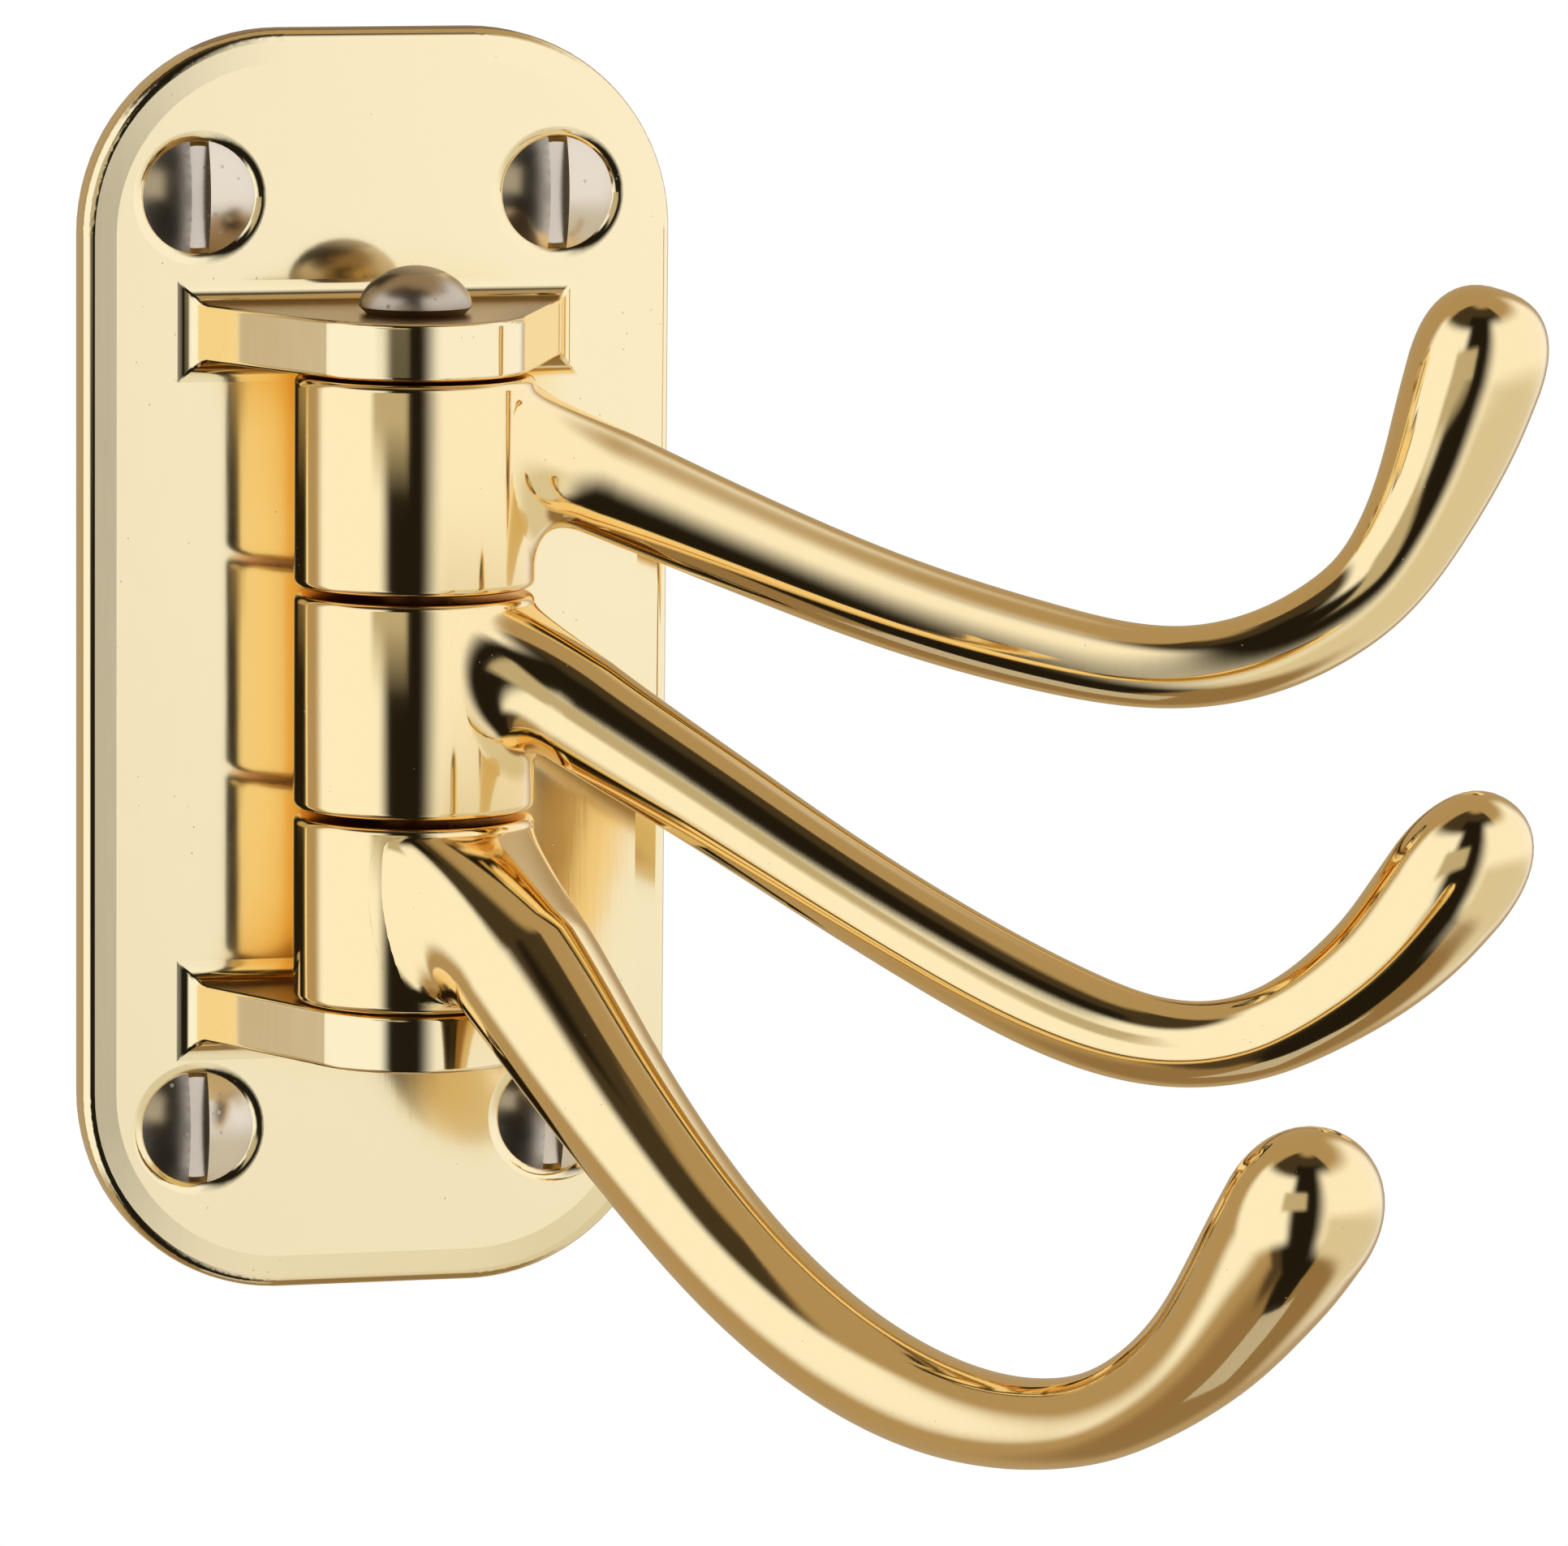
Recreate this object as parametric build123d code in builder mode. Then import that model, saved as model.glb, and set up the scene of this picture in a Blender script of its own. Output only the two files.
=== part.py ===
from build123d import *
import os
from math import cos, radians, sin, tan

# Swivel hook with three swinging arms, in polished brass.
# The wall face of the plate is the plane y = 0 and the front looks along -Y.
# The origin is the middle of that wall face and +Z points up.

# Back plate
plate_height = 92.0
plate_width = 43.6
plate_thickness = 2.8
plate_corner_radius = 14.7
plate_edge_radius = 0.9
soft_edge_width = 2.4
soft_edge_drop = 0.16

# Lugs that hold the pin
knuckle_to_plate = 2.64
lug_root_half_width = 13.9
lug_setback = 0.66
lug_thickness = 4.15
lug_cove_radius = 1.6
lug_edge_radius = 0.35
top_lug_underside = 22.2
bottom_lug_top = -23.2

# Pivot pin
pin_diameter = 4.8
pin_head_diameter = 8.1
pin_head_height = 3.5
pin_head_lip = 0.6
pin_head_shoulder = 0.56
pin_end_diameter = 6.4
pin_end_depth = 1.0
pin_end_crown = 0.4

# Knuckles on the pin, with the clearances that let them turn
knuckle_radius = 8.66
knuckle_edge_radius = 0.6
running_clearance = 0.08
lug_gap = 0.2
knuckle_gap = 0.5
top_knuckle_bottom = 6.9
middle_knuckle_bottom = -9.1
relief_clearance = 1.0

# Screws
screw_spacing_x = 26.6
screw_spacing_z = 67.9
screw_head_diameter = 8.2
screw_seat_diameter = 8.8
screw_seat_rounding = 1.2
screw_seat_margin = 0.05
screw_shank_diameter = 4.1
screw_hole_diameter = 4.8
screw_head_angle = 90.0
screw_crown = 0.9
screw_length = 22.0
screw_point_length = 4.0
slot_width = 1.4
slot_depth = 1.3

# Blend between each arm and its knuckle, and the height of the rounded end beyond the last section
top_root_radius = 4.0
middle_root_radius = 3.5
bottom_root_radius = 4.0
top_tip_height = 2.5
middle_tip_height = 8.5
bottom_tip_height = 7.1

# Arms: distance from the pin, level and radius along each one, from the knuckle to the tip
top_arm = [
    (4.0, 18.6, 4.4),
    (14.3, 14.0, 3.95),
    (24.6, 9.5, 3.6),
    (34.9, 5.4, 3.4),
    (45.5, 2.1, 3.15),
    (56.5, 0.7, 3.0),
    (66.8, 4.5, 3.1),
    (73.5, 13.2, 4.0),
    (77.3, 23.6, 4.8),
]
middle_arm = [
    (4.0, 4.2, 4.8),
    (13.3, -1.5, 4.1),
    (22.6, -6.6, 3.7),
    (31.9, -11.7, 3.45),
    (41.3, -16.5, 3.4),
    (51.1, -20.6, 3.3),
    (61.6, -22.0, 3.1),
    (71.2, -18.0, 3.4),
    (78.6, -10.5, 4.45),
]
bottom_arm = [
    (4.0, -12.4, 5.6),
    (12.2, -18.5, 5.45),
    (20.4, -25.3, 4.85),
    (28.9, -31.7, 4.3),
    (38.0, -37.3, 4.0),
    (47.8, -41.4, 3.75),
    (58.3, -43.6, 3.4),
    (68.9, -43.4, 3.05),
    (79.1, -40.4, 3.1),
    (87.7, -34.2, 4.15),
    (95.0, -26.4, 5.2),
]

# Angle of each arm from the wall, in degrees, as it hangs
top_swing = 9.0
middle_swing = 39.0
bottom_swing = 66.0

pin_y = -(plate_thickness + knuckle_to_plate + knuckle_radius)
lug_nose_radius = knuckle_radius - lug_setback
top_lug_top = top_lug_underside + lug_thickness
bottom_lug_underside = bottom_lug_top - lug_thickness
bore_diameter = pin_diameter + 2 * running_clearance
front_plane = Plane(origin=(0, -plate_thickness, 0), x_dir=(1, 0, 0), z_dir=(0, -1, 0))
pin_plane = Plane(origin=(0, pin_y, 0), x_dir=(1, 0, 0), z_dir=(0, -1, 0))
pin_axis = Axis((0, pin_y, 0), (0, 0, 1))

os.makedirs("parts", exist_ok=True)


def edges_at(edges, axis, level, slack=0.01):
    return edges.filter_by_position(axis, level - slack, level + slack)


def edges_around(edges, radius, slack=0.01):
    middles = [(edge, edge @ 0.5) for edge in edges.filter_by(GeomType.BSPLINE)]
    return [edge for edge, middle in middles if abs(Vector(middle.X, middle.Y).length - radius) < slack]


# Tool that cuts one countersunk screw hole with a rounded rim, seen with the plate's face at Z = 0
cone_slope = tan(radians(screw_head_angle / 2))
seat_depth = (screw_seat_diameter - screw_hole_diameter) / 2 / cone_slope
seat_rim = screw_seat_diameter / 2 + screw_seat_rounding * tan(radians(screw_head_angle / 4))
with BuildPart() as seat:
    with BuildSketch(Plane.XZ):
        with BuildLine():
            Polyline(
                (0, screw_crown),
                (0, -plate_thickness),
                (screw_hole_diameter / 2, -plate_thickness),
                (screw_hole_diameter / 2, -seat_depth),
                (screw_seat_diameter / 2, 0),
                (seat_rim + screw_seat_margin, 0),
                (seat_rim + screw_seat_margin, screw_crown),
                close=True,
            )
        make_face()
    revolve(axis=Axis.Z)
    fillet(edges_at(seat.edges(), Axis.Z, 0).sort_by(SortBy.RADIUS)[0], screw_seat_rounding)

# Back plate, cast in one piece with its two lugs
with BuildPart() as plate:
    with BuildSketch(Plane.XZ):
        RectangleRounded(plate_width, plate_height, plate_corner_radius)
    extrude(amount=plate_thickness)
    face = plate.faces().sort_by(Axis.Y)[0]
    chamfer(face.edges(), length=soft_edge_width, length2=soft_edge_drop, reference=face)
    fillet(edges_at(plate.edges(), Axis.Y, soft_edge_drop - plate_thickness), plate_edge_radius)

    for underside in (top_lug_underside, bottom_lug_underside):
        with BuildSketch(Plane.XY.offset(underside)):
            with BuildLine():
                CenterArc((0, pin_y), lug_nose_radius, 0, 360)
                Line((-lug_root_half_width, -plate_thickness), (lug_root_half_width, -plate_thickness))
            make_hull()
            with Locations((0, -plate_thickness / 2)):
                Rectangle(2 * lug_root_half_width, plate_thickness)
        extrude(amount=lug_thickness)
        root = edges_at(plate.edges(), Axis.Y, -plate_thickness)
        root = root.filter_by_position(Axis.Z, underside, underside + lug_thickness)
        fillet(root.filter_by_position(Axis.X, -lug_root_half_width, lug_root_half_width), lug_cove_radius)
        for level in (underside, underside + lug_thickness):
            outline = edges_at(plate.edges(), Axis.Z, level)
            fillet(outline.filter_by_position(Axis.Y, pin_y - lug_nose_radius, -plate_thickness), lug_edge_radius)

    # Bores for the pin, and the recess that its lower end is spread into
    with BuildSketch(Plane.XY.offset(bottom_lug_underside)):
        with Locations((0, pin_y)):
            Circle(pin_diameter / 2)
    extrude(amount=top_lug_top - bottom_lug_underside, mode=Mode.SUBTRACT)
    with BuildSketch(pin_plane):
        with BuildLine():
            Polyline(
                (0, bottom_lug_underside),
                (pin_end_diameter / 2, bottom_lug_underside),
                (pin_diameter / 2, bottom_lug_underside + pin_end_depth),
                (0, bottom_lug_underside + pin_end_depth),
                close=True,
            )
        make_face()
    revolve(axis=pin_axis, mode=Mode.SUBTRACT)

    # Countersunk screw holes
    with Locations(front_plane):
        with GridLocations(screw_spacing_x, screw_spacing_z, 2, 2):
            add(seat.part, mode=Mode.SUBTRACT)

plate.part.label = "back_plate"
export_step(plate.part, "parts/back_plate.step")

# Pivot pin with a domed head above and a spread end below
with BuildPart() as pin:
    with BuildSketch(pin_plane):
        with BuildLine():
            Line((0, bottom_lug_underside - pin_end_crown), (0, top_lug_top + pin_head_height))
            Bezier(
                (0, top_lug_top + pin_head_height),
                (pin_head_shoulder * pin_head_diameter / 2, top_lug_top + pin_head_height),
                (pin_head_diameter / 2, top_lug_top + pin_head_shoulder * pin_head_height),
                (pin_head_diameter / 2, top_lug_top + pin_head_lip),
            )
            Polyline(
                (pin_head_diameter / 2, top_lug_top + pin_head_lip),
                (pin_head_diameter / 2 - pin_head_lip, top_lug_top),
                (pin_diameter / 2, top_lug_top),
                (pin_diameter / 2, bottom_lug_underside + pin_end_depth),
                (pin_end_diameter / 2, bottom_lug_underside),
            )
            TangentArc(
                (0, bottom_lug_underside - pin_end_crown),
                (pin_end_diameter / 2, bottom_lug_underside),
                tangent=(1, 0),
            )
        make_face()
    revolve(axis=pin_axis)

pin.part.label = "pivot_pin"
export_step(pin.part, "parts/pivot_pin.step")

# Mounting screws: raised countersunk wood screws with a straight slot
rim_depth = (screw_seat_diameter - screw_head_diameter) / 2 / cone_slope
shank_start = rim_depth + (screw_head_diameter - screw_shank_diameter) / 2 / cone_slope
shank_end = rim_depth + screw_length - screw_point_length
# The neck under the head is rounded so that the plain shank begins where the screw enters the wall
neck_radius = (plate_thickness - shank_start) / tan(radians(screw_head_angle / 4))
with BuildPart() as screw:
    with BuildSketch(Plane.XZ):
        with BuildLine():
            TangentArc(
                (0, screw_crown - rim_depth),
                (screw_head_diameter / 2, -rim_depth),
                tangent=(1, 0),
            )
            Polyline(
                (screw_head_diameter / 2, -rim_depth),
                (screw_shank_diameter / 2, -shank_start),
                (screw_shank_diameter / 2, -shank_end),
                (0, -shank_end - screw_point_length),
                (0, screw_crown - rim_depth),
            )
        make_face()
    revolve(axis=Axis.Z)
    fillet(edges_at(screw.edges(), Axis.Z, -shank_start), neck_radius)
    with BuildSketch(Plane.XY.offset(screw_crown - rim_depth)):
        Rectangle(slot_width, 2 * screw_head_diameter)
    extrude(amount=-slot_depth, mode=Mode.SUBTRACT)

with BuildPart() as screws:
    with Locations(front_plane):
        with GridLocations(screw_spacing_x, screw_spacing_z, 2, 2):
            add(screw.part)

screws.part.label = "mounting_screws"
export_step(screws.part, "parts/mounting_screws.step")


# Hooks: each one is drawn with its arm along +X from the pin, then turned to where it hangs
def swinging_hook(arm, tip_angle, tip_height, tip_shoulder, knuckle_bottom, knuckle_top, root_radius):
    tip_reach, tip_level, tip_radius = arm[-1]
    tip = Vector(tip_reach, 0, tip_level)
    tip_heading = Vector(cos(radians(tip_angle)), 0, sin(radians(tip_angle)))
    root_heading = Vector(arm[1][0] - arm[0][0], arm[1][1] - arm[0][1]).normalized()

    with BuildPart() as hook:
        # Round arm that tapers to the bend and swells to the club at its tip
        with BuildLine(Plane.XZ) as route:
            Spline(
                *[(reach, level) for reach, level, radius in arm],
                tangents=[root_heading, (tip_heading.X, tip_heading.Z)],
            )
        path = route.edge()
        for reach, level, radius in arm:
            place = Vector(reach, 0, level)
            heading = path.tangent_at(path.param_at_point(place))
            with BuildSketch(Plane(origin=place, x_dir=heading.cross(Vector(0, 1, 0)), z_dir=heading)):
                Circle(radius)
        loft()
        with BuildSketch(Plane(origin=tip, x_dir=Vector(0, 1, 0).cross(tip_heading), z_dir=(0, -1, 0))):
            with BuildLine():
                Bezier(
                    (tip_radius, 0),
                    (tip_radius, tip_shoulder * tip_height),
                    (tip_shoulder * tip_radius, tip_height),
                    (0, tip_height),
                )
                Polyline((0, tip_height), (0, 0), (tip_radius, 0))
            make_face()
        revolve(axis=Axis(tip, tip_heading))

        # The arm's root is blended into a long barrel, which is then cut to the knuckle's length
        blend_margin = root_radius + knuckle_radius
        with BuildSketch(Plane(origin=(0, 0, knuckle_bottom - blend_margin), x_dir=(-1, 0, 0), z_dir=(0, 0, 1))):
            Circle(knuckle_radius)
        extrude(amount=knuckle_top - knuckle_bottom + 2 * blend_margin)
        fillet(edges_around(hook.edges(), knuckle_radius), root_radius)
        with BuildSketch(Plane.XY.offset(knuckle_top)):
            Circle(2 * knuckle_radius)
        extrude(amount=2 * blend_margin, mode=Mode.SUBTRACT)
        with BuildSketch(Plane.XY.offset(knuckle_bottom)):
            Circle(knuckle_radius + relief_clearance)
        extrude(amount=-2 * blend_margin, mode=Mode.SUBTRACT)
        upper_rim = edges_at(hook.edges(), Axis.Z, knuckle_top)
        fillet(upper_rim, knuckle_edge_radius)
        lower_rim = edges_at(hook.edges(), Axis.Z, knuckle_bottom).sort_by(SortBy.LENGTH)[-1]
        fillet(lower_rim, knuckle_edge_radius)

        # Bore for the pin
        with BuildSketch(Plane.XY.offset(knuckle_bottom)):
            Circle(bore_diameter / 2)
        extrude(amount=knuckle_top - knuckle_bottom, mode=Mode.SUBTRACT)
    return hook.part


top_hook = swinging_hook(
    top_arm,
    tip_angle=70.0,
    tip_height=top_tip_height,
    tip_shoulder=0.75,
    knuckle_bottom=top_knuckle_bottom,
    knuckle_top=top_lug_underside - lug_gap,
    root_radius=top_root_radius,
)
middle_hook = swinging_hook(
    middle_arm,
    tip_angle=54.0,
    tip_height=middle_tip_height,
    tip_shoulder=0.78,
    knuckle_bottom=middle_knuckle_bottom,
    knuckle_top=top_knuckle_bottom - knuckle_gap,
    root_radius=middle_root_radius,
)
bottom_hook = swinging_hook(
    bottom_arm,
    tip_angle=52.0,
    tip_height=bottom_tip_height,
    tip_shoulder=0.8,
    knuckle_bottom=bottom_lug_top + lug_gap,
    knuckle_top=middle_knuckle_bottom - knuckle_gap,
    root_radius=bottom_root_radius,
)

for hook, swing, name in (
    (top_hook, top_swing, "hook_top"),
    (middle_hook, middle_swing, "hook_middle"),
    (bottom_hook, bottom_swing, "hook_bottom"),
):
    hung = hook.moved(Location((0, pin_y, 0), (0, 0, -swing)))
    hung.label = name
    export_step(hung, "parts/" + name + ".step")
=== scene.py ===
import math

import bpy
from mathutils import Matrix, Vector


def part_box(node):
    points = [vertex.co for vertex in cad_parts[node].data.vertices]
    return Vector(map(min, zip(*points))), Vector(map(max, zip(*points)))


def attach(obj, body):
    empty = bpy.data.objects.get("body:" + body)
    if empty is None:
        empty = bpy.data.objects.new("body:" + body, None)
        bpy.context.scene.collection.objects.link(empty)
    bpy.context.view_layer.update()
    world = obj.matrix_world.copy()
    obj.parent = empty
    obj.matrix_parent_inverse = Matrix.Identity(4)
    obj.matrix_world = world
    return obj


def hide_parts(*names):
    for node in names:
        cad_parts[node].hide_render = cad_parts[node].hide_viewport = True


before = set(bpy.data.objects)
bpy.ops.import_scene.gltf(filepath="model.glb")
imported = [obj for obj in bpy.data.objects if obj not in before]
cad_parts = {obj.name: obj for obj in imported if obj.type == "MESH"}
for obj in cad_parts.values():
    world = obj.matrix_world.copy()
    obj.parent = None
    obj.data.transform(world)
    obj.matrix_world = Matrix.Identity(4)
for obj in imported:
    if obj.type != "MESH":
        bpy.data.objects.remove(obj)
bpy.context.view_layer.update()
scene = bpy.context.scene
print("frame loaded:", ", ".join(sorted(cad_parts)))

# Camera, in metres and degrees: to the left of the hook, a little above it and looking slightly down
cameraSet = {
    "place": (-0.1784, -0.7629, 0.0970),
    "turn": 15.38,
    "tilt": 7.66,
    "roll": 0.5,
    "lens": 248.2,
    "sensor": 36.0,
}


def makeCamera(values):
    turn, tilt, roll = (math.radians(values[key]) for key in ("turn", "tilt", "roll"))
    ahead = Vector((math.sin(turn) * math.cos(tilt), math.cos(turn) * math.cos(tilt), -math.sin(tilt)))
    side = Vector((math.cos(turn), -math.sin(turn), 0.0))
    up = side.cross(ahead)
    across = math.cos(roll) * side + math.sin(roll) * up
    upright = math.cos(roll) * up - math.sin(roll) * side
    data = bpy.data.cameras.new("hookCamera")
    data.lens = values["lens"]
    data.sensor_width = values["sensor"]
    data.sensor_fit = "HORIZONTAL"
    data.clip_start = 0.01
    camera = bpy.data.objects.new("hookCamera", data)
    scene.collection.objects.link(camera)
    rotation = Matrix((across, upright, -ahead)).transposed().to_4x4()
    camera.matrix_world = Matrix.Translation(values["place"]) @ rotation
    scene.camera = camera


# Studio: a dome of light around the hook. Directions are in degrees: across is measured from straight in
# front of the plate, to the left where positive, and up from the horizon. Soft is the width of a panel's
# faded edge. Later panels cover earlier ones.
studioSet = {
    "radius": 2.0,
    "step": 3,
    "room": (0.46, 0.37, 0.25),
    "floorHeight": -1.5,
    "floorSize": 0.5,
    "floorColour": (0.85, 0.85, 0.84),
    "floorRoughness": 0.8,
    "worldFill": 0.5,
    "panels": (
        {"name": "below", "across": (-200, 200), "up": (-120, -54),
         "soft": 16, "colour": (0.30, 0.22, 0.13)},
        {"name": "darkCeiling", "across": (-34, 104), "up": (28, 80),
         "soft": 12, "colour": (0.06, 0.048, 0.034)},
        {"name": "tableEdge", "across": (2, 66), "up": (-66, -16),
         "soft": 10, "colour": (0.08, 0.06, 0.04)},
        {"name": "darkGap", "across": (-16, 50), "up": (-95, 62),
         "soft": 9, "colour": (0.015, 0.013, 0.010)},
        {"name": "rightSoftbox", "across": (-130, -3), "up": (-50, 50),
         "soft": 24, "colour": (1.03, 1.13, 1.42)},
        {"name": "rightLower", "across": (-124, -12), "up": (-54, -13),
         "soft": 18, "colour": (0.74, 0.77, 0.80)},
        {"name": "leftSoftbox", "across": (42, 116), "up": (-38, 42),
         "soft": 14, "colour": (1.04, 1.16, 1.46)},
        {"name": "dimCard", "across": (20, 54), "up": (-3, 20),
         "soft": 6, "colour": (0.55, 0.54, 0.50)},
    ),
}


def softStep(value, edge, width):
    amount = min(max((value - edge) / width + 0.5, 0.0), 1.0)
    return amount * amount * (3 - 2 * amount)


def domeColour(across, up, values):
    colour = Vector(values["room"])
    for panel in values["panels"]:
        cover = 1.0
        for angle, (low, high) in ((across, panel["across"]), (up, panel["up"])):
            cover *= softStep(angle, low, panel["soft"]) * (1 - softStep(angle, high, panel["soft"]))
        colour = colour.lerp(Vector(panel["colour"]), cover)
    return colour


def makeDome(values):
    mesh = bpy.data.meshes.new("lightDome")
    step = values["step"]
    rows, columns = 180 // step, 360 // step
    corners, colours = [], []
    for row in range(rows + 1):
        up = -90 + row * step
        for column in range(columns):
            across = -180 + column * step
            level = math.cos(math.radians(up))
            side, front = math.sin(math.radians(across)), math.cos(math.radians(across))
            ahead = Vector((-side * level, -front * level, math.sin(math.radians(up))))
            corners.append(ahead * values["radius"])
            colours.append(domeColour(across, up, values))
    faces = []
    for row in range(rows):
        for column in range(columns):
            here, there = row * columns + column, row * columns + (column + 1) % columns
            faces.append((here, there, there + columns, here + columns))
    mesh.from_pydata(corners, [], faces)
    glow = mesh.color_attributes.new("glow", "FLOAT_COLOR", "POINT")
    for point, colour in zip(glow.data, colours):
        point.color = (*colour, 1.0)
    material = bpy.data.materials.new("domeLight")
    material.use_nodes = True
    nodes, links = material.node_tree.nodes, material.node_tree.links
    nodes.clear()
    source = nodes.new("ShaderNodeAttribute")
    source.attribute_name = "glow"
    light = nodes.new("ShaderNodeEmission")
    out = nodes.new("ShaderNodeOutputMaterial")
    links.new(source.outputs["Color"], light.inputs["Color"])
    links.new(light.outputs["Emission"], out.inputs["Surface"])
    mesh.materials.append(material)
    dome = bpy.data.objects.new("lightDome", mesh)
    scene.collection.objects.link(dome)
    dome.visible_camera = False


def makeFloor(values):
    half, height = values["floorSize"] / 2, values["floorHeight"]
    sides = ((-half, -half), (half, -half), (half, half), (-half, half))
    mesh = bpy.data.meshes.new("floor")
    mesh.from_pydata([(x, y, height) for x, y in sides], [], [(0, 1, 2, 3)])
    material = bpy.data.materials.new("paleFloor")
    material.use_nodes = True
    shader = material.node_tree.nodes["Principled BSDF"]
    shader.inputs["Base Color"].default_value = (*values["floorColour"], 1.0)
    shader.inputs["Roughness"].default_value = values["floorRoughness"]
    mesh.materials.append(material)
    floor = bpy.data.objects.new("floor", mesh)
    scene.collection.objects.link(floor)


# The world is white where the camera or a reflection sees it, and gives half of that as light
def makeWorld(values):
    world = bpy.data.worlds.new("studioWorld")
    scene.world = world
    world.use_nodes = True
    nodes, links = world.node_tree.nodes, world.node_tree.links
    background = nodes["Background"]
    path = nodes.new("ShaderNodeLightPath")
    seen = nodes.new("ShaderNodeMath")
    seen.operation = "MAXIMUM"
    links.new(path.outputs["Is Camera Ray"], seen.inputs[0])
    links.new(path.outputs["Is Glossy Ray"], seen.inputs[1])
    seenToo = nodes.new("ShaderNodeMath")
    seenToo.operation = "MAXIMUM"
    links.new(seen.outputs[0], seenToo.inputs[0])
    links.new(path.outputs["Is Transmission Ray"], seenToo.inputs[1])
    level = nodes.new("ShaderNodeMapRange")
    level.inputs["To Min"].default_value = values["worldFill"]
    level.inputs["To Max"].default_value = 1.0
    links.new(seenToo.outputs[0], level.inputs["Value"])
    background.inputs["Color"].default_value = (1.0, 1.0, 1.0, 1.0)
    links.new(level.outputs["Result"], background.inputs["Strength"])


makeCamera(cameraSet)
makeDome(studioSet)
makeFloor(studioSet)
makeWorld(studioSet)
print("camera and studio ready")


# Adds a node: values are its own settings, and each source is a link or a value for the input of that name,
# or for input number 6 where it is called i6
def addNode(tree, kind, values=None, **sources):
    node = tree.nodes.new(kind)
    for key, value in (values or {}).items():
        setattr(node, key, value)
    for key, value in sources.items():
        numbered = key[0] == "i" and key[1:].isdigit()
        socket = node.inputs[int(key[1:]) if numbered else key.replace("_", " ")]
        if isinstance(value, bpy.types.NodeSocket):
            tree.links.new(value, socket)
        else:
            socket.default_value = value
    return node


def addMath(tree, operation, first, second=0.5, clamp=False):
    node = addNode(tree, "ShaderNodeMath", {"operation": operation, "use_clamp": clamp}, i0=first, i1=second)
    return node.outputs[0]


def addMix(tree, factor, first, second):
    node = addNode(tree, "ShaderNodeMix", {"data_type": "RGBA"}, i0=factor, i6=first, i7=second)
    return node.outputs[2]


def newGroup(name, inputs, outputs):
    tree = bpy.data.node_groups.new(name, "ShaderNodeTree")
    for label, kind, value in inputs:
        socket = tree.interface.new_socket(name=label, in_out="INPUT", socket_type=kind)
        socket.default_value = value
    for label, kind in outputs:
        tree.interface.new_socket(name=label, in_out="OUTPUT", socket_type=kind)
    return tree, tree.nodes.new("NodeGroupInput"), tree.nodes.new("NodeGroupOutput")


number = "NodeSocketFloat"


# Mask of gaps and inner corners, which polishing doesn't reach and where the metal reflects itself. The colour
# it mixes in is tarnish together with painted shade and painted reflection
def makeHollowGroup():
    tree, given, result = newGroup(
        "shadeAndTarnishMask",
        [("Reach", number, 0.008), ("Start", number, 0.0), ("Strength", number, 1.0)],
        [("Mask", number)],
    )
    shade = addNode(tree, "ShaderNodeAmbientOcclusion", {"samples": 12}, Distance=given.outputs["Reach"])
    hidden = addMath(tree, "SUBTRACT", 1.0, shade.outputs["AO"], clamp=True)
    tarnishAndShade = addMath(tree, "SUBTRACT", hidden, given.outputs["Start"], clamp=True)
    mask = addMath(tree, "MULTIPLY", tarnishAndShade, given.outputs["Strength"], clamp=True)
    tree.links.new(mask, result.inputs["Mask"])
    return tree


# Long soft waves and fine hairlines that a polishing wheel leaves
def makePolishGroup():
    tree, given, result = newGroup(
        "handPolish",
        [("Wave Scale", number, 90.0), ("Hair Scale", number, 1400.0), ("Hair Amount", number, 0.08)],
        [("Height", number), ("Haze", number)],
    )
    place = addNode(tree, "ShaderNodeTexCoord").outputs["Object"]
    wave = addNode(tree, "ShaderNodeTexNoise", Vector=place, Scale=given.outputs["Wave Scale"], Detail=2.0)
    drawn = addNode(tree, "ShaderNodeMapping", Vector=place, Scale=(1.0, 1.0, 0.06))  # hairlines run upright
    hair = addNode(
        tree, "ShaderNodeTexNoise", Vector=drawn.outputs[0], Scale=given.outputs["Hair Scale"], Detail=3.0
    )
    haze = addNode(tree, "ShaderNodeTexNoise", Vector=place, Scale=260.0, Detail=5.0, Roughness=0.65)
    lines = addMath(tree, "MULTIPLY", hair.outputs["Fac"], given.outputs["Hair Amount"])
    tree.links.new(addMath(tree, "ADD", wave.outputs["Fac"], lines), result.inputs["Height"])
    tree.links.new(haze.outputs["Fac"], result.inputs["Haze"])
    return tree


# Small grains of dust and pits, scattered thinly
def makeSpeckGroup():
    tree, given, result = newGroup(
        "dustSpecks", [("Scale", number, 900.0), ("Amount", number, 0.12)], [("Mask", number)]
    )
    place = addNode(tree, "ShaderNodeTexCoord").outputs["Object"]
    cells = addNode(tree, "ShaderNodeTexVoronoi", Vector=place, Scale=given.outputs["Scale"])
    near = addMath(tree, "LESS_THAN", cells.outputs["Distance"], given.outputs["Amount"])
    patches = addNode(tree, "ShaderNodeTexNoise", Vector=place, Scale=120.0, Detail=2.0)
    dusty = addMath(tree, "GREATER_THAN", patches.outputs["Fac"], 0.56)  # only some patches hold dust
    tree.links.new(addMath(tree, "MULTIPLY", near, dusty), result.inputs["Mask"])
    return tree


shadeAndTarnishMask, handPolish, dustSpecks = makeHollowGroup(), makePolishGroup(), makeSpeckGroup()


def useGroup(tree, group, **sources):
    return addNode(tree, "ShaderNodeGroup", {"node_tree": group}, **sources)
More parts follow.
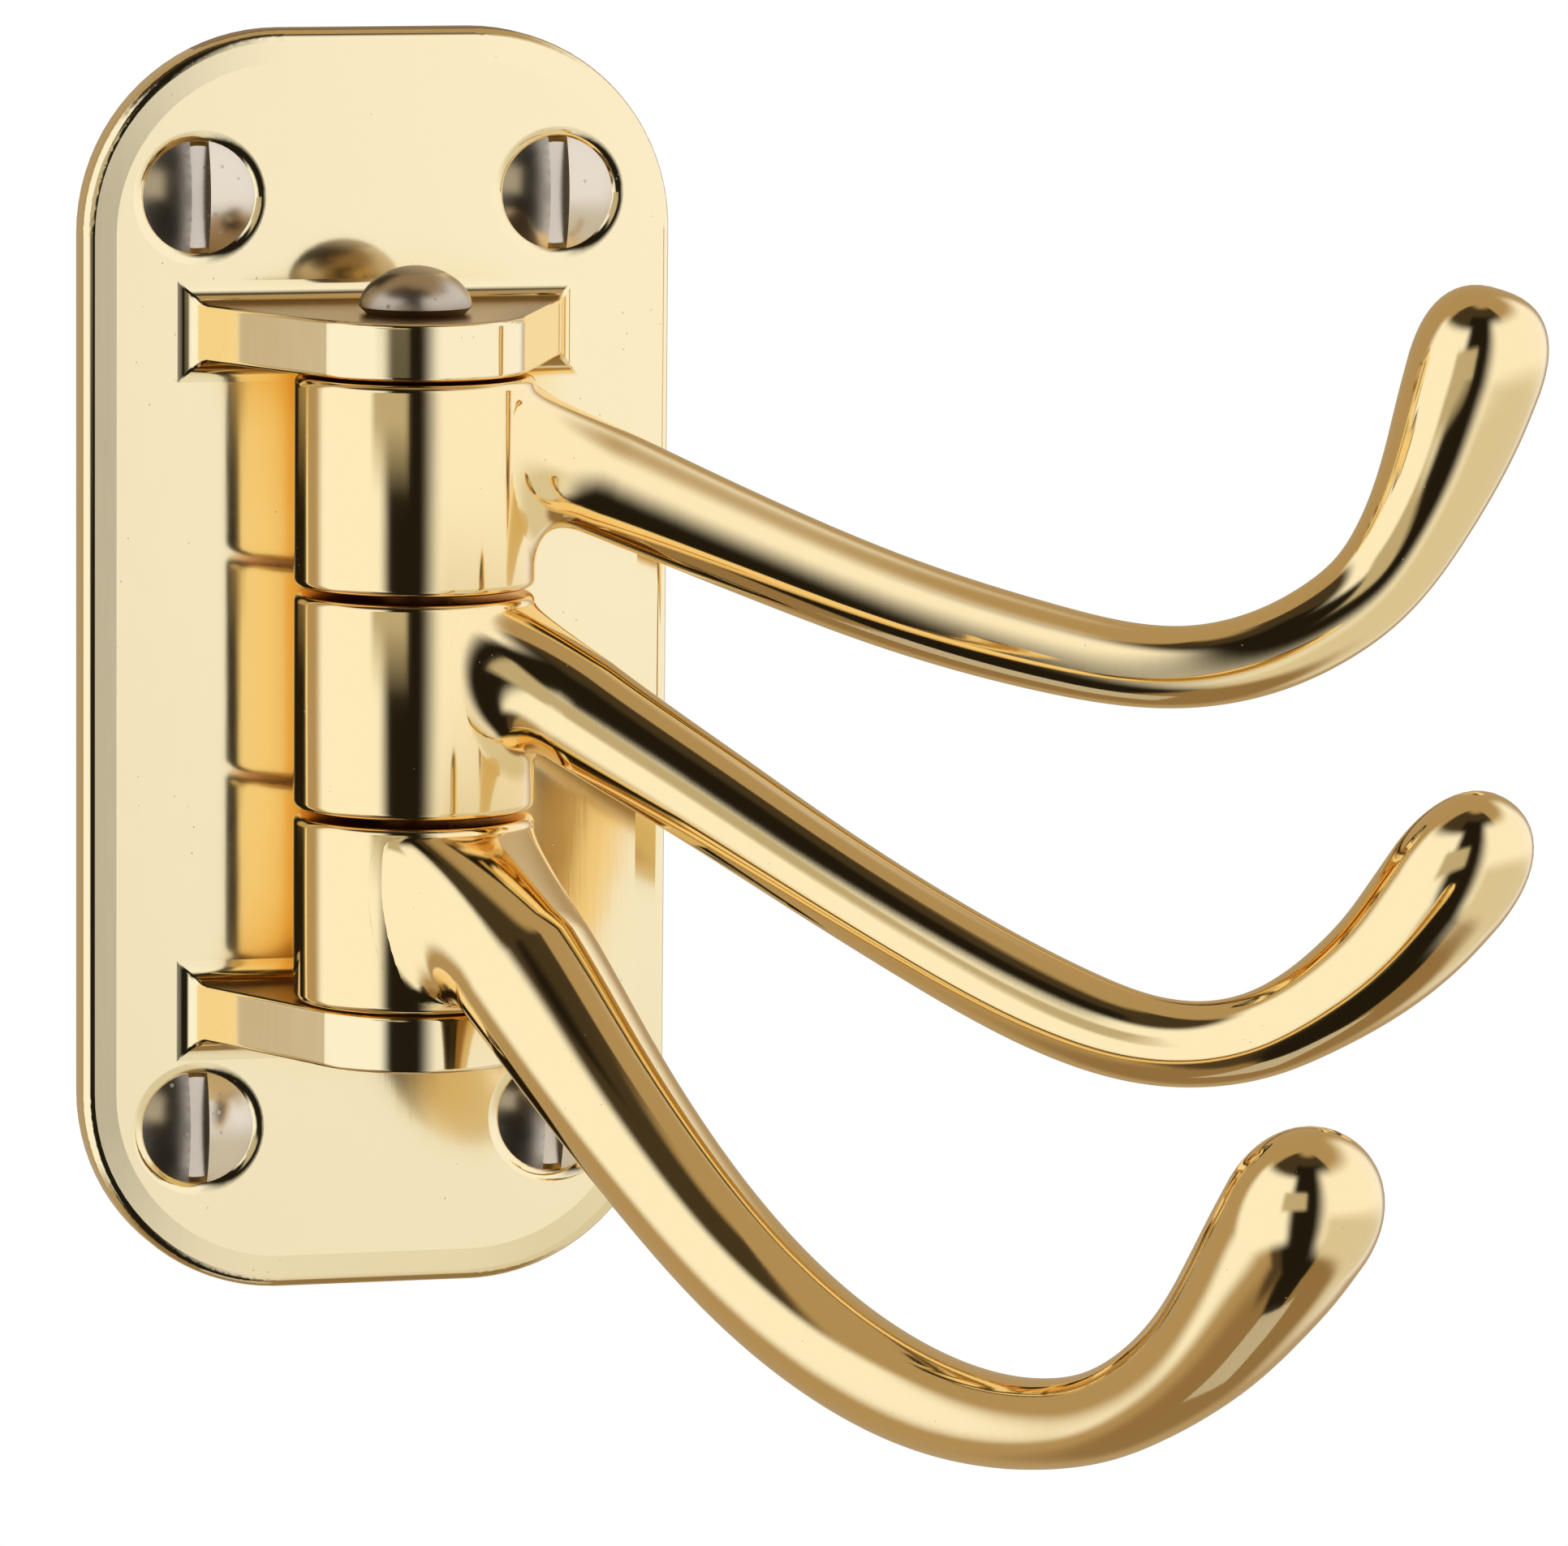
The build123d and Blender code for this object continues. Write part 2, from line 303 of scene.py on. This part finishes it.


# Looks of the pieces: colours are linear, and reach and wave are in metres. The gap colour is tarnish with
# painted shade and painted reflection, top that of faces that look up, and haze, speck and the two top values
# say how far each effect goes.
brassLooks = {
    "plateBrass": {
        "colour": (0.94, 0.74, 0.39), "tarnishAndShade": (0.92, 0.52, 0.05),
        "reach": 0.012, "start": 0.4, "hollow": 2.2,
        "roughness": 0.06, "haze": 0.03, "wave": 0.00003, "speck": 0.06,
        "top": (0.36, 0.22, 0.09), "topRoughness": 0.28, "topAmount": 0.9,
    },
    "armBrass": {
        "colour": (0.95, 0.71, 0.335), "tarnishAndShade": (0.82, 0.43, 0.05),
        "reach": 0.006, "start": 0.0, "hollow": 0.9,
        "roughness": 0.055, "haze": 0.03, "wave": 0.00003, "speck": 0.06,
        "top": (0.5, 0.3, 0.1), "topRoughness": 0.3, "topAmount": 0.0,
    },
    "agedPin": {
        "colour": (0.58, 0.46, 0.30), "tarnishAndShade": (0.16, 0.10, 0.05),
        "reach": 0.003, "start": 0.0, "hollow": 1.0,
        "roughness": 0.2, "haze": 0.22, "wave": 0.00006, "speck": 0.16,
        "top": (0.42, 0.34, 0.24), "topRoughness": 0.25, "topAmount": 0.6,
    },
    "screwBrass": {
        "colour": (0.78, 0.63, 0.42), "tarnishAndShade": (0.60, 0.50, 0.38),
        "reach": 0.0014, "start": 0.0, "hollow": 1.0,
        "roughness": 0.12, "haze": 0.14, "wave": 0.00003, "speck": 0.14,
        "top": (0.4, 0.3, 0.2), "topRoughness": 0.3, "topAmount": 0.0,
    },
}

# What all four materials share: dust, how upright a face has to be to count as a top, and the bump's strength
finish = {
    "flatFrom": 0.9,
    "dustCover": 0.35,
    "dustColour": (0.50, 0.46, 0.40),
    "dustRoughness": 0.3,
    "hollowRoughness": 0.16,
    "bump": 0.6,
}


def brassMaterial(name):
    look = brassLooks[name]
    material = bpy.data.materials.new(name)
    material.use_nodes = True
    tree = material.node_tree
    shader = tree.nodes["Principled BSDF"]
    gaps = useGroup(tree, shadeAndTarnishMask, Reach=look["reach"], Start=look["start"], Strength=look["hollow"])
    hollow = gaps.outputs["Mask"]
    polish = useGroup(tree, handPolish)
    speck = useGroup(tree, dustSpecks, Amount=look["speck"]).outputs["Mask"]

    # Upward faces of the lugs and the pin stay dull: the normal's Z picks them
    facing = addNode(tree, "ShaderNodeNewGeometry").outputs["Normal"]
    normal = addNode(tree, "ShaderNodeSeparateXYZ", Vector=facing)
    flat = addMath(tree, "GREATER_THAN", normal.outputs["Z"], finish["flatFrom"])
    upward = addMath(tree, "MULTIPLY", flat, look["topAmount"])

    # Gaps and inner corners get tarnish together with painted shade and painted reflection
    colour = addMix(tree, hollow, (*look["colour"], 1.0), (*look["tarnishAndShade"], 1.0))
    colour = addMix(tree, upward, colour, (*look["top"], 1.0))
    dust = addMath(tree, "MULTIPLY", speck, finish["dustCover"])
    colour = addMix(tree, dust, colour, (*finish["dustColour"], 1.0))
    tree.links.new(colour, shader.inputs["Base Color"])

    rough = addMath(tree, "MULTIPLY", polish.outputs["Haze"], look["haze"])
    rough = addMath(tree, "ADD", rough, look["roughness"])
    rough = addMath(tree, "ADD", rough, addMath(tree, "MULTIPLY", hollow, finish["hollowRoughness"]))
    rough = addMath(tree, "ADD", rough, addMath(tree, "MULTIPLY", upward, look["topRoughness"]))
    dull = addMath(tree, "MULTIPLY", speck, finish["dustRoughness"])
    rough = addMath(tree, "ADD", rough, dull, clamp=True)
    tree.links.new(rough, shader.inputs["Roughness"])

    height = polish.outputs["Height"]
    bump = addNode(tree, "ShaderNodeBump", Strength=finish["bump"], Distance=look["wave"], Height=height)
    tree.links.new(bump.outputs[0], shader.inputs["Normal"])
    shader.inputs["Metallic"].default_value = 1.0
    return material


plateBrass, armBrass, agedPin, screwBrass = (brassMaterial(name) for name in brassLooks)
coats = {"back_plate": plateBrass, "pivot_pin": agedPin, "mounting_screws": screwBrass}
for name, material in coats.items():
    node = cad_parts[name]
    node.data.materials.clear()
    node.data.materials.append(material)
print("brass on the plate, the pin and the screws")

# Hooks, in millimetres and degrees. Swing is the angle from the wall, bottom and top are the knuckle's ends,
# root is how far the arm spreads over the knuckle and rootStart where that begins. A station is
# (distance from the pin, level, radius) on the arm's middle line.
mm = 0.001
pinY = -14.1
knuckle = {"radius": 8.66, "edge": 0.6, "edgeSteps": 6, "bore": 2.48, "segments": 128}
armLook = {
    "around": 72,
    "step": 0.6,
    "rootSteps": 14,
    "capSteps": 14,
    "wrap": 0.8,  # how far the root reaches round the knuckle, as a part of how far it reaches up and down
    "fullness": 0.62,
    "sink": 0.9,
}
hooks = {
    "hook_top": {
        "piece": "topHook", "body": "top_arm", "swing": 9.0, "bottom": 6.9, "top": 22.0,
        "root": 4.0, "rootStart": 13.6, "capHeight": 6.3, "capPower": 2.5,
        "stations": (
            (4, 18.6, 4.4), (14.3, 14.0, 3.95), (24.6, 9.5, 3.6), (34.9, 5.4, 3.4), (45.5, 2.2, 3.2),
            (56.1, 0.7, 2.98), (61.5, 1.7, 3.05), (66.3, 4.0, 3.17), (69.2, 6.3, 3.3), (71.3, 9.0, 3.55),
            (73.0, 12.1, 3.9), (74.4, 15.3, 4.34), (75.6, 18.6, 4.74), (76.7, 22.0, 4.97),
        ),
    },
    "hook_middle": {
        "piece": "middleHook", "body": "middle_arm", "swing": 39.0, "bottom": -9.1, "top": 6.4,
        "root": 3.8, "rootStart": 13.2, "capHeight": 7.2, "capPower": 2.3,
        "stations": (
            (4, 4.2, 4.8), (13.3, -1.5, 4.1), (22.6, -6.6, 3.7), (31.9, -11.7, 3.45), (41.3, -16.5, 3.4),
            (51.1, -20.6, 3.35), (56.3, -21.9, 3.15), (61.9, -21.9, 3.0), (65.6, -20.9, 3.06),
            (68.9, -19.2, 3.25), (71.8, -17.2, 3.58), (74.5, -14.9, 3.96), (76.9, -12.3, 4.34),
            (79.1, -9.5, 4.56),
        ),
    },
    "hook_bottom": {
        "piece": "lowestHook", "body": "bottom_arm", "swing": 66.0, "bottom": -23.0, "top": -9.6,
        "root": 4.0, "rootStart": 13.4, "capHeight": 6.6, "capPower": 2.2,
        "stations": (
            (4, -12.4, 5.6), (12.2, -18.5, 5.45), (20.4, -25.3, 4.85), (28.9, -31.7, 4.3), (38.0, -37.3, 4.0),
            (47.8, -41.4, 3.75), (58.3, -43.6, 3.45), (70.8, -43.1, 3.06), (75.7, -41.8, 3.08),
            (80.2, -39.7, 3.28), (84.1, -37.2, 3.66), (87.5, -34.4, 4.15), (90.4, -31.4, 4.64),
            (93.1, -28.3, 5.05), (95.2, -25.7, 5.24),
        ),
    },
}


# Natural cubic curve through the stations, at even steps: x and y are its place, z is the arm's radius there
def smoothArm(stations, step):
    points = [Vector(station) for station in stations]
    spans = [(b - a).xy.length for a, b in zip(points, points[1:])]
    count = len(points)
    bends = [Vector((0, 0, 0)) for point in points]
    lower, right = [0.0] * count, [Vector((0, 0, 0)) for point in points]
    for i in range(1, count - 1):
        pull = 6 * ((points[i + 1] - points[i]) / spans[i] - (points[i] - points[i - 1]) / spans[i - 1])
        weight = 2 * (spans[i - 1] + spans[i]) - spans[i - 1] * lower[i - 1]
        lower[i] = spans[i] / weight
        right[i] = (pull - spans[i - 1] * right[i - 1]) / weight
    for i in range(count - 2, 0, -1):
        bends[i] = right[i] - lower[i] * bends[i + 1]
    result = []
    for i, span in enumerate(spans):
        steps = max(2, round(span / step))
        for k in range(steps):
            t = k / steps
            a, b = 1 - t, t
            pull = ((a**3 - a) * bends[i] + (b**3 - b) * bends[i + 1]) * span * span / 6
            result.append(a * points[i] + b * points[i + 1] + pull)
    result.append(points[-1])
    return result


# One ring of the arm, in the arm's own plane: distance from the pin, sideways, level
def armRing(centre, heading, radius, around):
    middle = Vector((centre[0], 0, centre[1]))
    side, out = Vector((0, 1, 0)), Vector((-heading[1], 0, heading[0]))
    ring = []
    for k in range(around):
        angle = 2 * math.pi * k / around
        ring.append(middle + radius * (math.cos(angle) * side + math.sin(angle) * out))
    return ring


# The arm's root spreads into the knuckle: from each point of the first ring a curve leaves along the arm and
# lands along the barrel's wall, closer where the knuckle's ends leave no room
def rootRings(first, heading, values):
    back = -Vector((heading[0], 0, heading[1]))
    radius, fullness = knuckle["radius"], armLook["fullness"]
    low, high = values["bottom"] + knuckle["edge"], values["top"] - knuckle["edge"]
    centre = sum(first, Vector()) / len(first)
    lands = []
    for start in first + [centre]:
        a = back.x**2
        b, c = 2 * start.x * back.x, start.x**2 + start.y**2 - radius**2
        reach = (-b - math.sqrt(max(b * b - 4 * a * c, 0))) / (2 * a)
        lands.append(start + reach * back)
    middle = lands.pop()
    rings = [[] for k in range(armLook["rootSteps"])]
    for start, hit in zip(first, lands):
        turn = math.atan2(hit.y, hit.x)
        spread = Vector((radius * turn, hit.z - middle.z))
        spread = spread.normalized() * values["root"]
        level = min(max(hit.z + spread.y, low), high)
        landTurn = turn + spread.x / radius * armLook["wrap"]
        land = Vector((radius * math.cos(landTurn), radius * math.sin(landTurn), level))
        corner = Vector((hit.x, hit.y, min(max(hit.z, low), high)))
        for k, ring in enumerate(rings, 1):
            t = k / len(rings)
            leave = start + fullness * (corner - start)
            arrive = land + fullness * (corner - land)
            point = (1 - t) ** 3 * start + 3 * t * (1 - t) ** 2 * leave
            ring.append(point + 3 * t * t * (1 - t) * arrive + t**3 * land)
    sink = armLook["sink"]  # the last ring lies inside the knuckle and closes the arm there
    inner = [Vector((point.x * sink, point.y * sink, point.z)) for point in rings[-1]]
    return rings + [inner]


def ringFaces(first, rows, around):
    faces = []
    for row in range(rows - 1):
        for k in range(around):
            a, b = first + row * around + k, first + row * around + (k + 1) % around
            faces.append((a, b, b + around, a + around))
    return faces


# Rings from inside the knuckle to the rounded end, closed with a fan at each end
def armShell(values):
    around = armLook["around"]
    path = smoothArm(values["stations"], armLook["step"])
    path = [point for point in path if point.x >= values["rootStart"]]
    headings = [(b - a).xy.normalized() for a, b in zip(path, path[1:])]
    headings.append(headings[-1])
    blended = [headings[0]] + [(a + b).normalized() for a, b in zip(headings, headings[1:])]
    first = armRing(path[0].xy, blended[0], path[0].z, around)
    rings = list(reversed(rootRings(first, blended[0], values)))
    rings += [armRing(point.xy, heading, point.z, around) for point, heading in zip(path, blended)]
    end, heading = path[-1], blended[-1]
    for k in range(1, armLook["capSteps"]):
        along = math.sin(0.5 * math.pi * k / armLook["capSteps"])
        radius = end.z * (1 - along ** values["capPower"]) ** (1 / values["capPower"])
        rings.append(armRing(end.xy + heading * along * values["capHeight"], heading, radius, around))
    corners = [point for ring in rings for point in ring]
    faces = ringFaces(0, len(rings), around)
    tip = end.xy + heading * values["capHeight"]
    last = len(corners) - around
    corners += [sum(rings[0], Vector()) / around, Vector((tip.x, 0, tip.y))]
    for k in range(around):
        faces.append((len(corners) - 2, (k + 1) % around, k))
        faces.append((len(corners) - 1, last + k, last + (k + 1) % around))
    return corners, faces


# The knuckle is turned from its profile, with rounded edges and the bore
def knuckleShell(values):
    around, edge, steps = knuckle["segments"], knuckle["edge"], knuckle["edgeSteps"]
    flat, low, high = knuckle["radius"] - edge, values["bottom"] + edge, values["top"] - edge
    turns = [math.radians(90 / steps * k) for k in range(steps + 1)]
    profile = [(knuckle["bore"], values["bottom"]), (flat, values["bottom"])]
    profile += [(flat + edge * math.sin(angle), low - edge * math.cos(angle)) for angle in turns[1:]]
    profile += [(flat + edge * math.cos(angle), high + edge * math.sin(angle)) for angle in turns]
    profile.append((knuckle["bore"], values["top"]))
    corners = []
    for reach, level in profile:
        for k in range(around):
            angle = 2 * math.pi * k / around
            corners.append(Vector((reach * math.cos(angle), reach * math.sin(angle), level)))
    faces = ringFaces(0, len(profile), around)
    last = (len(profile) - 1) * around
    faces += [(last + k, last + (k + 1) % around, (k + 1) % around, k) for k in range(around)]
    return corners, faces


def meshPiece(name, corners, faces, material, sharp=40.0):
    mesh = bpy.data.meshes.new(name)
    mesh.from_pydata(corners, [], faces)
    mesh.materials.append(material)
    mesh.shade_smooth()
    mesh.set_sharp_from_angle(angle=math.radians(sharp))
    mesh.update()
    piece = bpy.data.objects.new(name, mesh)
    scene.collection.objects.link(piece)
    return piece


def makeHook(node, values):
    corners, faces = armShell(values)
    more, moreFaces = knuckleShell(values)
    faces += [tuple(index + len(corners) for index in face) for face in moreFaces]
    corners += more
    swing = Matrix.Rotation(-math.radians(values["swing"]), 4, "Z")
    place = Matrix.Translation((0, pinY * mm, 0)) @ Matrix.Scale(mm, 4) @ swing
    piece = meshPiece(values["piece"], [place @ corner for corner in corners], faces, armBrass)
    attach(piece, values["body"])
    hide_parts(node)


for node, values in hooks.items():
    makeHook(node, values)
print("hooks made")

# Thread on the shanks of the four screws, in millimetres. From taper to point the shank narrows, and fade says
# over what part of its length the ridge grows and dies away. The profile's points are (out, along) the ridge.
threadSet = {
    "start": 2.4,
    "taper": 15.4,
    "end": 18.9,
    "point": 19.5,
    "radius": 2.03,
    "height": 0.42,
    "width": 0.5,
    "pitch": 1.7,
    "steps": 28,
    "headRadius": 4.1,
    "sunk": 0.1,
    "fade": 4,
    "endRise": 0.05,
    "narrowest": 0.4,
    "profile": ((0, -0.5), (1, -0.08), (1, 0.08), (0, 0.5)),
}


def makeThreads(values):
    low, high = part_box("mounting_screws")
    across = high[0] / mm - values["headRadius"]
    tall = high[2] / mm - values["headRadius"]
    turns = (values["end"] - values["start"]) / values["pitch"]
    fade, narrowest = values["fade"], values["narrowest"]
    corners, faces = [], []
    for x, z in ((-across, -tall), (across, -tall), (across, tall), (-across, tall)):
        first, count = len(corners), round(turns * values["steps"])
        for k in range(count + 1):
            angle = 2 * math.pi * k / values["steps"]
            depth = values["start"] + (values["end"] - values["start"]) * k / count
            left = (values["point"] - depth) / (values["point"] - values["taper"])
            shank = values["radius"] * min(1.0, left)
            share = min(1.0, fade * k / count, fade * (count - k) / count + values["endRise"])
            width = 2 * values["width"] * (narrowest + (1 - narrowest) * share)
            for out, along in values["profile"]:
                reach = shank + (values["height"] * share if out else -values["sunk"])
                place = (x + reach * math.cos(angle), depth + along * width, z + reach * math.sin(angle))
                corners.append(Vector(place) * mm)
        for k in range(count):
            a = first + 4 * k
            faces += [(a + j, a + j + 1, a + j + 5, a + j + 4) for j in range(3)]
            faces.append((a + 3, a, a + 4, a + 7))
        faces += [(first + 3, first + 2, first + 1, first), tuple(first + 4 * count + j for j in range(4))]
    piece = meshPiece("screwThreads", corners, faces, screwBrass)
    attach(piece, "bracket")


makeThreads(threadSet)
print("threads made")

scene.view_settings.view_transform = "Standard"
